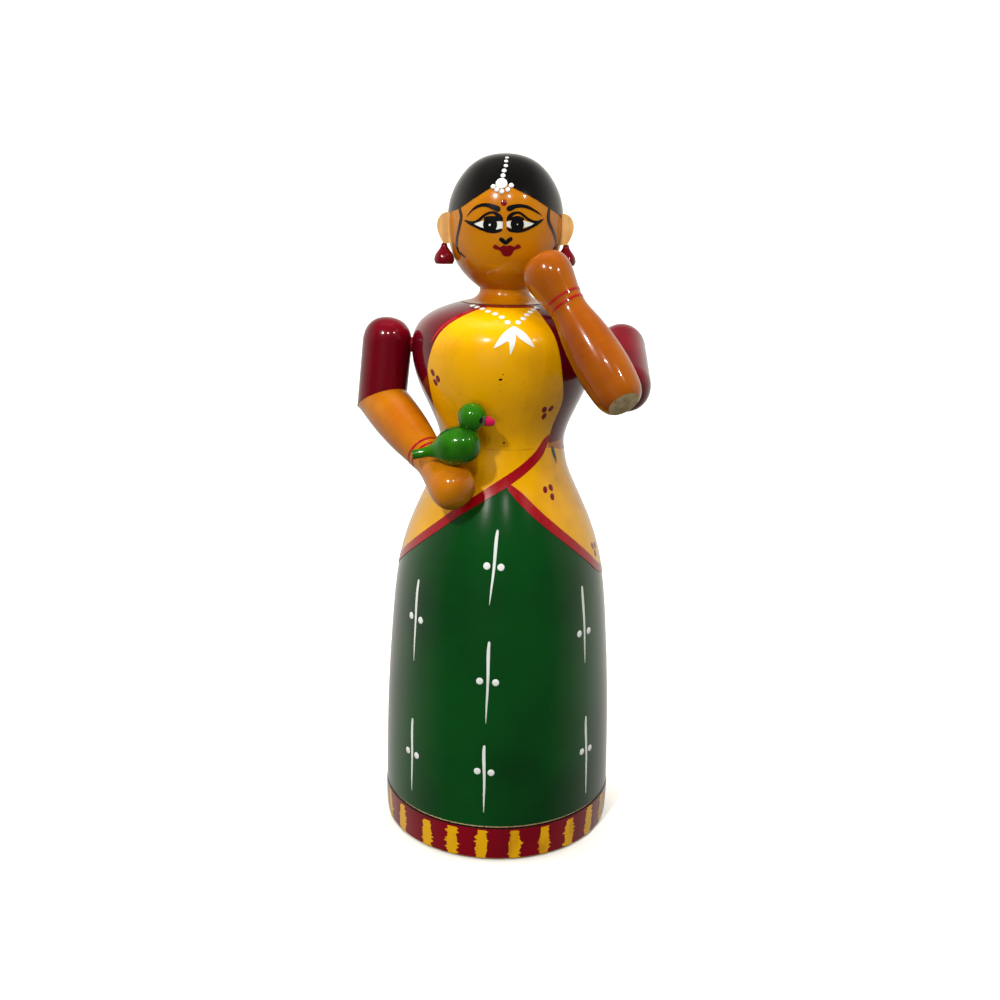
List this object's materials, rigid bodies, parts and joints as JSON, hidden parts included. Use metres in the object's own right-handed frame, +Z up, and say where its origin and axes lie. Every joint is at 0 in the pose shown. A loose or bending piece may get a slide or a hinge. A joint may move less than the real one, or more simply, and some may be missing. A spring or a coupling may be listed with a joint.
{
  "type": "lacquered wooden doll",
  "caption": "Turned and lacquered wooden doll of a standing figure in a sari, with a flat base, a swivelling head, pegged arms and a small parrot perched on its hand.",
  "frame": {"origin": "centre of the flat base, on the turning axis", "axes": "+Z up the turning axis, the doll faces -Y, its own right arm, which holds the parrot, is towards -X"},
  "size_m": [0.0584, 0.051, 0.1397],
  "materials": {
    "skirt_lacquer": "deep green lacquer over turned wood, high gloss",
    "blouse_lacquer": "maroon and yellow lacquer over turned wood, high gloss",
    "raw_wood": "bare pale wood, matt",
    "skin_lacquer": "ochre lacquer over turned wood, high gloss",
    "varnished_wood": "clear varnish over pale wood, satin",
    "maroon_lacquer": "maroon lacquer over turned wood, high gloss",
    "wire": "plain wire",
    "hair_lacquer": "black lacquer over turned wood, high gloss",
    "parrot_lacquer": "leaf green lacquer over turned wood, high gloss",
    "beak_lacquer": "pink lacquer, high gloss"
  },
  "bodies": {
    "figure": {"skirt": "skirt_lacquer", "bust": "blouse_lacquer", "waist_dowel": "raw_wood", "shoulder_peg_right": "maroon_lacquer", "shoulder_peg_left": "maroon_lacquer"},
    "head": {"head": "skin_lacquer", "neck_dowel": "raw_wood", "ear_right": "varnished_wood", "ear_left": "varnished_wood", "earring_right": "maroon_lacquer", "earring_left": "maroon_lacquer", "earring_pin_right": "wire", "earring_pin_left": "wire", "hair_bun": "hair_lacquer", "bun_pin": "raw_wood"},
    "right_arm": {"upper_arm_right": "maroon_lacquer", "forearm_right": "skin_lacquer", "elbow_dowel_right": "raw_wood", "parrot_body": "parrot_lacquer", "parrot_head": "parrot_lacquer", "parrot_beak": "beak_lacquer", "parrot_neck_pin": "raw_wood", "perch_pin": "raw_wood"},
    "left_arm": {"upper_arm_left": "maroon_lacquer", "forearm_left": "skin_lacquer", "elbow_dowel_left": "raw_wood"}
  },
  "joints": [
    {"name": "head_swivel", "type": "hinge", "parent": "figure", "child": "head", "pos_m": [0, 0, 0.1116], "axis": [0, 0, 1], "range_deg": [-10, 50]},
    {"name": "right_shoulder", "type": "hinge", "parent": "figure", "child": "right_arm", "pos_m": [-0.0185, 0, 0.1028], "axis": [1, 0, 0], "range_deg": [-50, 0]},
    {"name": "left_shoulder", "type": "hinge", "parent": "figure", "child": "left_arm", "pos_m": [0.0185, 0, 0.1028], "axis": [0.9703, 0, 0.2419], "range_deg": [0, 40]}
  ]
}
